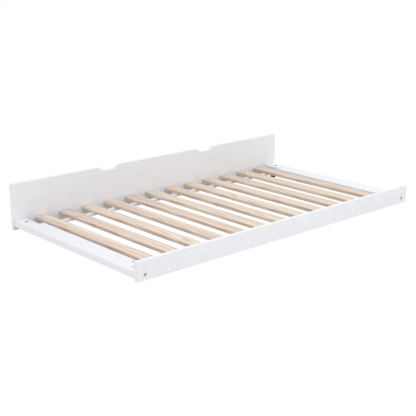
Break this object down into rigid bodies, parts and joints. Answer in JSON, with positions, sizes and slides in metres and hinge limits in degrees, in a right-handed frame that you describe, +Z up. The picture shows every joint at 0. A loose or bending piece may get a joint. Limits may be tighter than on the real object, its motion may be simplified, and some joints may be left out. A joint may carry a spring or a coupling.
{
  "type": "trundle bed",
  "caption": "Low slatted trundle bed on fixed wheels, with a tall front panel notched for pulling, a low rear rail and pine slats between flat end boards.",
  "frame": {"origin": "centre of the bed's footprint, on the floor under the wheels", "axes": "+X along the bed's length, -Y towards the tall front panel, the way the bed pulls out, and +Z up"},
  "size_m": [1.96, 1.075, 0.271],
  "materials": {
    "white_lacquer": "smooth satin white lacquer over solid wood and fibreboard",
    "slat_pine": "planed, unlacquered light pine",
    "bolt_brass": "yellow-passivated steel, smooth",
    "zinc": "zinc-plated steel",
    "dowel_beech": "fluted beech",
    "wheel_black": "moulded black nylon",
    "bracket_black": "black powder-coated pressed steel"
  },
  "bodies": {
    "bed_frame": {"front_panel": "white_lacquer", "rear_rail": "white_lacquer", "left_end_board": "white_lacquer", "right_end_board": "white_lacquer", "front_batten": "white_lacquer", "rear_batten": "white_lacquer", "slat_01": "slat_pine", "slat_02": "slat_pine", "slat_03": "slat_pine", "slat_04": "slat_pine", "slat_05": "slat_pine", "slat_06": "slat_pine", "slat_07": "slat_pine", "slat_08": "slat_pine", "slat_09": "slat_pine", "slat_10": "slat_pine", "slat_11": "slat_pine", "slat_12": "slat_pine", "front_left_bolt": "bolt_brass", "front_left_barrel_nut": "zinc", "front_left_dowel_1": "dowel_beech", "front_left_dowel_2": "dowel_beech", "front_left_batten_dowel": "dowel_beech", "front_left_wheel_bracket": "bracket_black", "front_left_wheel_axle": "zinc", "front_right_bolt": "bolt_brass", "front_right_barrel_nut": "zinc", "front_right_dowel_1": "dowel_beech", "front_right_dowel_2": "dowel_beech", "front_right_batten_dowel": "dowel_beech", "front_right_wheel_bracket": "bracket_black", "front_right_wheel_axle": "zinc", "rear_left_bolt": "bolt_brass", "rear_left_barrel_nut": "zinc", "rear_left_dowel_1": "dowel_beech", "rear_left_dowel_2": "dowel_beech", "rear_left_batten_dowel": "dowel_beech", "rear_left_wheel_bracket": "bracket_black", "rear_left_wheel_axle": "zinc", "rear_right_bolt": "bolt_brass", "rear_right_barrel_nut": "zinc", "rear_right_dowel_1": "dowel_beech", "rear_right_dowel_2": "dowel_beech", "rear_right_batten_dowel": "dowel_beech", "rear_right_wheel_bracket": "bracket_black", "rear_right_wheel_axle": "zinc"},
    "front_left_wheel": {"front_left_wheel": "wheel_black"},
    "front_right_wheel": {"front_right_wheel": "wheel_black"},
    "rear_left_wheel": {"rear_left_wheel": "wheel_black"},
    "rear_right_wheel": {"rear_right_wheel": "wheel_black"}
  },
  "joints": [
    {"name": "front_left_wheel_roll", "type": "hinge", "parent": "bed_frame", "child": "front_left_wheel", "pos_m": [-0.894, -0.447, 0.018], "axis": [1, 0, 0], "continuous": true},
    {"name": "front_right_wheel_roll", "type": "hinge", "parent": "bed_frame", "child": "front_right_wheel", "pos_m": [0.894, -0.447, 0.018], "axis": [1, 0, 0], "continuous": true},
    {"name": "rear_left_wheel_roll", "type": "hinge", "parent": "bed_frame", "child": "rear_left_wheel", "pos_m": [-0.894, 0.447, 0.018], "axis": [1, 0, 0], "continuous": true},
    {"name": "rear_right_wheel_roll", "type": "hinge", "parent": "bed_frame", "child": "rear_right_wheel", "pos_m": [0.894, 0.447, 0.018], "axis": [1, 0, 0], "continuous": true}
  ]
}
